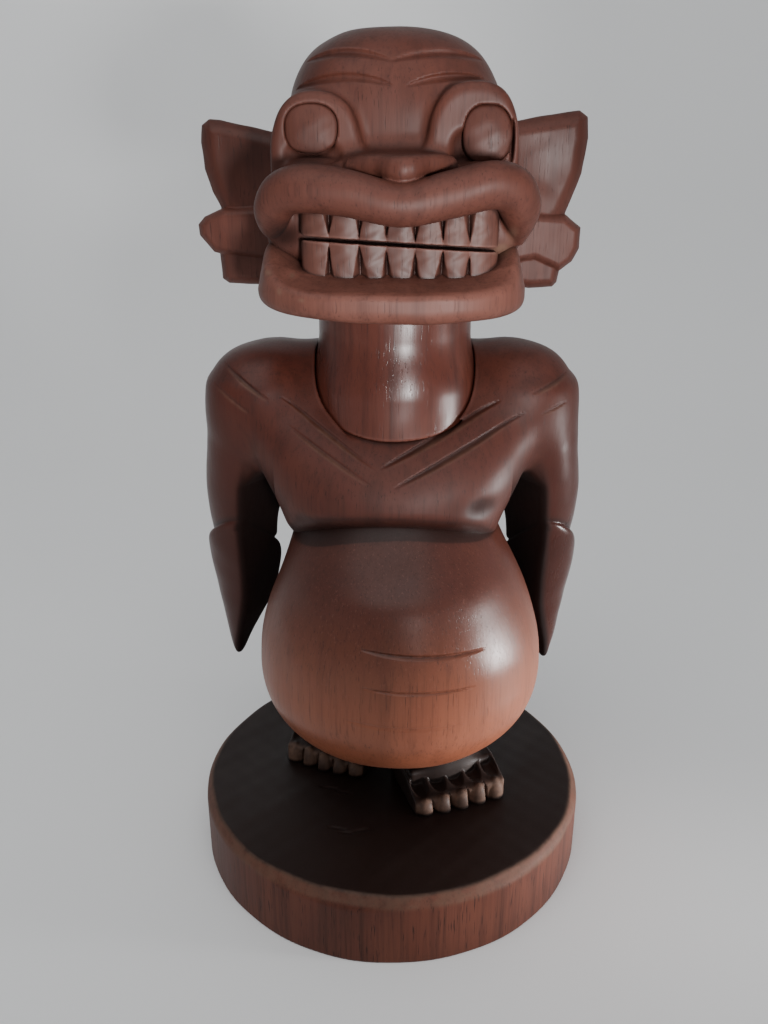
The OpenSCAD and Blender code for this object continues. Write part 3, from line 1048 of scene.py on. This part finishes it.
def wood(
    name,
    deep,
    mid,
    light,
    tint=(0.10, 0.022, 0.011),
    gloss=0.42,
    shine=0.3,
    streaks=0.3,
    pores=1.0,
    rise=None,
    top=None,
    arms=None,
    specks=0.0,
    shade_and_grime=0.5,
):
    """Stained hardwood with upright grain. All colours are linear.

    The wood is mid to light, with streaks of deep and patches of tint. gloss is its roughness, and
    shine its specular level. rise is (z0, z1, colour): the wood goes to colour from z1 down to z0,
    in metres. top is the colour of faces that look up, arms that of the arms, specks how strong the
    pale pore specks are, and the last argument how dark the painted shade and grime in hollows and creases
    get.
    """
    n = Nodes(name)
    cloud = n.noise(n.scaled(9, 9, 9), detail=5, twist=0.4)
    streak = n.noise(n.scaled(150, 150, 5), detail=6, rough=0.62, twist=0.3)
    fine = n.noise(n.scaled(620, 620, 20), detail=3)
    pore = n.noise(n.scaled(1300, 1300, 70), detail=2, rough=0.5)
    colour = n.mix(n.range(cloud, 0.36, 0.66), mid, light)
    if rise:
        split = n.add("ShaderNodeSeparateXYZ")
        n.link(n.place, split.inputs[0])
        height = n.math("ADD", split.outputs[2], n.math("MULTIPLY", cloud, 0.03))
        colour = n.mix(n.range(height, rise[0], rise[1], 1, 0), colour, rise[2])
    patch = n.noise(n.scaled(16, 16, 11), detail=3)
    colour = n.mix(n.math("MULTIPLY", n.range(patch, 0.54, 0.74), 0.3), colour, tint)
    colour = n.mix(n.math("MULTIPLY", n.range(streak, 0.42, 0.70), streaks), colour, deep)
    colour = n.mix(n.math("MULTIPLY", n.range(fine, 0.5, 0.75), 0.3), colour, deep)
    dark_pore = n.math("MULTIPLY", n.range(pore, 0.60, 0.72), 0.4 * pores)
    colour = n.mix(dark_pore, colour, scaled_colour(deep, 0.35))
    if specks:
        grit = n.noise(n.scaled(900, 900, 420), detail=2, rough=0.6)
        dots = n.math("MULTIPLY", n.range(grit, 0.60, 0.70), specks)
        colour = n.mix(dots, colour, paler(light, 2.6, 0.03))
    if top:
        facing = n.add("ShaderNodeSeparateXYZ")
        n.link(n.add("ShaderNodeNewGeometry").outputs["Normal"], facing.inputs[0])
        colour = n.mix(n.range(facing.outputs[2], 0.6, 0.95), colour, top)
    if arms:
        split = n.add("ShaderNodeSeparateXYZ")
        n.link(n.place, split.inputs[0])
        out = n.range(n.math("ABSOLUTE", split.outputs[0]), 0.066, 0.096)
        arm = n.math("MULTIPLY", out, n.range(split.outputs[2], 0.31, 0.255))
        arm_colour = n.mix(n.range(cloud, 0.36, 0.66), arms, scaled_colour(arms, 1.6))
        colour = n.mix(arm, colour, arm_colour)
    # Painted shade, with some grime: the colour goes darker where the surface is enclosed (hollow) and in
    # creases, where shade falls.
    crease = n.attribute("crease")
    shade_and_grime_mask = n.range(n.attribute("hollow"), 0.0, 0.85, 0, shade_and_grime)
    colour = n.mix(shade_and_grime_mask, colour, scaled_colour(deep, 0.5))
    colour = n.mix(n.range(crease, 0.05, 0.65, 0, shade_and_grime), colour, scaled_colour(deep, 0.4))
    worn = n.math("MULTIPLY", n.range(crease, -0.12, -0.5), n.range(cloud, 0.35, 0.6, 0.1, 0.4))
    colour = n.mix(worn, colour, paler(light, 1.5, 0.02))
    # Painted shade where bare is below zero: the face's hollows and the inner flats of the arms; also a
    # darkened dimple on the chest.
    shade_and_grime_mask = n.range(n.attribute("bare"), 0.0, -1.0, 0, 0.85)
    colour = n.mix(shade_and_grime_mask, colour, scaled_colour(deep, 0.4))
    broken = n.range(n.noise(n.scaled(160, 160, 160)), 0.3, 0.6, 0.45, 1)
    bare = n.math("MULTIPLY", n.range(n.attribute("bare"), 0.0, 1.0), broken)
    colour = n.mix(bare, colour, WORN)
    n.link(colour, n.shader.inputs["Base Color"])
    uneven = n.range(cloud, 0.3, 0.7, gloss - 0.07, gloss + 0.09)
    rough = n.math("ADD", uneven, n.math("MULTIPLY", fine, 0.12))
    rough = n.math("ADD", rough, n.math("MULTIPLY", bare, 0.2))
    rough = n.math("ADD", rough, n.range(n.attribute("bare"), 0.0, -0.8, 0, 0.5))
    if arms:
        rough = n.math("SUBTRACT", rough, n.math("MULTIPLY", arm, 0.15))
    n.link(rough, n.shader.inputs["Roughness"])
    n.shader.inputs["Specular IOR Level"].default_value = shine
    pits = n.math("MULTIPLY", n.range(pore, 0.62, 0.7, 1, 0), 0.5)
    height = n.math("ADD", n.math("MULTIPLY", fine, 0.5), pits)
    bump = n.add("ShaderNodeBump")
    bump.inputs["Strength"].default_value = 0.22
    bump.inputs["Distance"].default_value = 0.0004
    n.link(height, bump.inputs["Height"])
    n.link(bump.outputs[0], n.shader.inputs["Normal"])
    return n.material


BODY_WOOD = wood(
    "body_wood",
    (0.014, 0.0045, 0.0032),
    (0.055, 0.0130, 0.0082),
    (0.080, 0.0215, 0.0135),
    gloss=0.38,
    shine=0.28,
    arms=(0.038, 0.0086, 0.0050),
)
HEAD_WOOD = wood(
    "head_wood",
    (0.015, 0.005, 0.004),
    (0.054, 0.0166, 0.0112),
    (0.078, 0.0262, 0.0180),
    gloss=0.42,
    shine=0.2,
    rise=(0.385, 0.43, (0.088, 0.0310, 0.0225)),
    shade_and_grime=0.18,
)
JAW_WOOD = wood(
    "jaw_wood",
    (0.022, 0.008, 0.006),
    (0.098, 0.0350, 0.0248),
    (0.135, 0.052, 0.038),
    gloss=0.42,
    shine=0.2,
    shade_and_grime=0.35,
)
NECK_WOOD = wood(
    "neck_wood",
    (0.024, 0.005, 0.003),
    (0.070, 0.0152, 0.0090),
    (0.100, 0.028, 0.0170),
    gloss=0.27,
    shine=0.36,
    streaks=0.5,
    shade_and_grime=0.3,
)
BELLY_WOOD = wood(
    "belly_wood",
    (0.026, 0.007, 0.004),
    (0.054, 0.0142, 0.0092),
    (0.080, 0.0235, 0.0150),
    gloss=0.33,
    shine=0.32,
    streaks=0.15,
    shade_and_grime=0.65,
    rise=(0.135, 0.225, (0.235, 0.074, 0.038)),
    specks=0.18,
)
TEETH_WOOD = wood(
    "teeth_wood",
    (0.018, 0.006, 0.005),
    (0.062, 0.0215, 0.015),
    (0.092, 0.035, 0.025),
    shine=0.3,
    shade_and_grime=0.6,
)
DARK_WOOD = wood(
    "dark_wood",
    (0.007, 0.004, 0.003),
    (0.018, 0.009, 0.007),
    (0.030, 0.016, 0.012),
    tint=(0.03, 0.012, 0.008),
    gloss=0.45,
    shade_and_grime=0.7,
)
BASE_WOOD = wood(
    "base_wood",
    (0.009, 0.003, 0.002),
    (0.080, 0.0215, 0.0120),
    (0.120, 0.0360, 0.0210),
    gloss=0.45,
    shine=0.22,
    streaks=0.45,
    pores=1.8,
    top=(0.0150, 0.0070, 0.0054),
)
DOWEL_WOOD = wood("dowel_wood", (0.13, 0.07, 0.03), (0.24, 0.14, 0.07), (0.32, 0.20, 0.11), gloss=0.6)

# ------------------------------------------------------------------ pieces


def place(obj, node, material, slot):
    """Give a sculpted piece its material, and let it stand for its CAD node."""
    obj.data.materials.append(material)
    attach(obj, "root")
    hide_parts(node)
    return obj


def lower(*fields):
    """Field of several shapes together, for finding where they shade each other."""

    def field(p):
        best = fields[0](p)
        for other in fields[1:]:
            best = np.minimum(best, other(p))
        return best

    return field


def piece(node, field, low, high, voxel, material, slot, **extra):
    """Sculpt one piece inside the box from low to high, and let it stand for its CAD node."""
    obj = sculpt(node + "_carved", field, low, high, voxel, **extra)
    return place(obj, node, material, slot)


def upper_teeth_field(p):
    return teeth_field(p, 1)


def lower_teeth_field(p):
    return teeth_field(p, -1)


def build_base_and_legs():
    edge = BASE_R + 1.5
    around = lower(left_leg_field, right_leg_field, belly_field, base_field)
    low, high = (-edge, -edge, -1.5), (edge, edge, BASE_TOP + 2)
    piece("base_disc", base_field, low, high, 1.25, BASE_WOOD, "base_wood", around=around, bare=base_bare)
    low, high = (-2, -66, 41), (92, 84, 152)
    shading = {"around": around, "bare": foot_bare(1)}
    piece("left_leg", left_leg_field, low, high, 0.8, DARK_WOOD, "dark_wood", **shading)
    low, high = (-92, -36, 41), (2, 84, 152)
    shading = {"around": around, "bare": foot_bare(-1)}
    piece("right_leg", right_leg_field, low, high, 0.8, DARK_WOOD, "dark_wood", **shading)


def build_body():
    around = lower(belly_field, torso_field)
    low, high = (-84, -103, 60), (92, 72, 242)
    piece("belly", belly_field, low, high, 0.95, BELLY_WOOD, "belly_wood", around=around)
    around = lower(torso_field, neck_field, belly_field)
    low, high = (-68, -70, 170), (68, 60, 330)
    shading = {"around": around, "skin": trunk_skin, "bare": chest_bare}
    piece("chest", chest_field, low, high, 0.85, BODY_WOOD, "body_wood", **shading)
    for side, node in ((1, "left_arm"), (-1, "right_arm")):
        low_x, high_x = sorted((side * 58, side * 118))
        low, high = (low_x, -40, 103), (high_x, 62, 328)
        shading = {"around": around, "skin": body_skin, "bare": arm_scars_and_shade(side)}
        piece(node, arm_piece_field(side), low, high, 0.95, BODY_WOOD, "body_wood", **shading)
    around = lower(neck_field, torso_field, jaw_field)
    low, high = (-50, -50, 268), (52, 50, 352)
    piece("neck", neck_field, low, high, 1.0, NECK_WOOD, "neck_wood", around=around)


def build_head():
    shading = {
        "around": lower(head_field, jaw_field, upper_teeth_field, lower_teeth_field),
        "bare": face_nicks_and_shade,
    }
    low, high = (-70, -96, 341), (72, 60, 474)
    piece("head", head_field, low, high, 0.85, HEAD_WOOD, "head_wood", **shading)
    low, high = (-70, -98, 340), (70, -8, 382)
    piece("jaw", jaw_field, low, high, 0.75, JAW_WOOD, "head_wood", **shading)
    low, high = (-46, -80, 370), (50, -62, 400)
    piece("upper_teeth", upper_teeth_field, low, high, 0.5, TEETH_WOOD, "teeth_wood", **shading)
    low, high = (-46, -80, 352), (50, -62, 380)
    piece("lower_teeth", lower_teeth_field, low, high, 0.5, TEETH_WOOD, "teeth_wood", **shading)
    for side, node in ((1, "left_eye"), (-1, "right_eye")):
        at, radii = EYES[side]
        low = [a - r - 1 for a, r in zip(at, radii)]
        high = [a + r + 1 for a, r in zip(at, radii)]
        shading = {"around": lower(face_field, eye_field(side)), "bare": face_nicks_and_shade}
        piece(node, eye_field(side), low, high, 0.5, HEAD_WOOD, "head_wood", **shading)
    for side, node in ((1, "left_ear"), (-1, "right_ear")):
        low_x, high_x = sorted((side * 42, side * 106))
        piece(node, ear_field(side), (low_x, -12, 344), (high_x, 24, 440), 0.75, HEAD_WOOD, "head_wood")


def colour_dowels():
    """The dowels keep their CAD shape."""
    for node in ("leg_dowels", "waist_dowel", "neck_dowel", "arm_dowels", "jaw_dowels"):
        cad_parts[node].data.materials.clear()
        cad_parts[node].data.materials.append(DOWEL_WOOD)


# ------------------------------------------------------------------ camera, light and floor


# Where the photo was taken from, in metres, with the downward pitch in degrees and the lens in mm
CAMERA_AT = (-0.0049, -0.4908, 0.4092)
CAMERA_PITCH = 21.1
CAMERA_LENS = 31.64
SENSOR = 36
PALE_GREY = ((0.87, 0.87, 0.87), (0.90, 0.90, 0.89))
SKY_COLOUR = (0.93, 0.96, 1.0, 1)
SKY_STRENGTH = 0.42


def add_camera():
    camera = bpy.data.objects.new("camera", bpy.data.cameras.new("camera"))
    bpy.context.scene.collection.objects.link(camera)
    camera.location = CAMERA_AT
    camera.rotation_euler = (math.radians(90 - CAMERA_PITCH), 0, 0)
    camera.data.sensor_width = SENSOR
    camera.data.lens = CAMERA_LENS
    camera.data.clip_start = 0.01
    bpy.context.scene.camera = camera


def add_light(name, at, target, size, power, spread=180):
    """Area light that looks from at to target; spread narrows its beam, in degrees."""
    light = bpy.data.lights.new(name, "AREA")
    light.shape = "RECTANGLE"
    light.size, light.size_y = size
    light.energy = power
    light.spread = math.radians(spread)
    obj = bpy.data.objects.new(name, light)
    bpy.context.scene.collection.objects.link(obj)
    obj.location = at
    obj.visible_camera = False
    aim = [t - a for t, a in zip(target, at)]
    flat = math.hypot(aim[0], aim[1])
    obj.rotation_euler = (math.atan2(flat, -aim[2]), 0, math.atan2(aim[1], aim[0]) - math.pi / 2)


def add_floor():
    """Pale sweep: a floor that curves up into a wall behind the figure."""
    half, back, height, bend = 2.5, 1.1, 2.4, 0.35
    profile = [(-half, 0.0), (back - bend, 0.0)]
    profile += [
        (back - bend + bend * math.sin(a), bend - bend * math.cos(a))
        for a in np.linspace(0, math.pi / 2, 12)[1:]
    ]
    profile.append((back, height))
    points = np.array([(x, y, z) for y, z in profile for x in (-half, half)]) / MM
    faces = np.array([(2 * i, 2 * i + 1, 2 * i + 3, 2 * i + 2) for i in range(len(profile) - 1)])
    floor = mesh_object("floor", points, faces, {})
    n = Nodes("floor_paint")
    paint = n.mix(n.noise(n.scaled(3, 3, 3), detail=3), *PALE_GREY)
    n.link(paint, n.shader.inputs["Base Color"])
    n.shader.inputs["Roughness"].default_value = 0.85
    floor.data.materials.append(n.material)
    floor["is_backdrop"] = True


def add_world():
    world = bpy.data.worlds.new("studio")
    world.use_nodes = True
    background = world.node_tree.nodes["Background"]
    background.inputs[0].default_value = SKY_COLOUR
    background.inputs[1].default_value = SKY_STRENGTH
    bpy.context.scene.world = world


add_camera()
add_world()
add_floor()
add_light("window", (0.20, -0.76, 0.31), (0.02, -0.05, 0.41), (0.12, 0.10), 0.38, 34)
add_light("side_window", (0.76, -0.18, 0.06), (0.06, -0.06, 0.12), (0.15, 0.10), 0.5, 32)
add_light("sky", (-0.2, -1.0, 2.1), (0, 0, 0.2), (2.4, 1.8), 22)
build_base_and_legs()
build_body()
build_head()
colour_dowels()

both = {"cad": cad_bounds, "visual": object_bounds()}
{key: [[float(v) for v in corner] for corner in box] for key, box in both.items()}
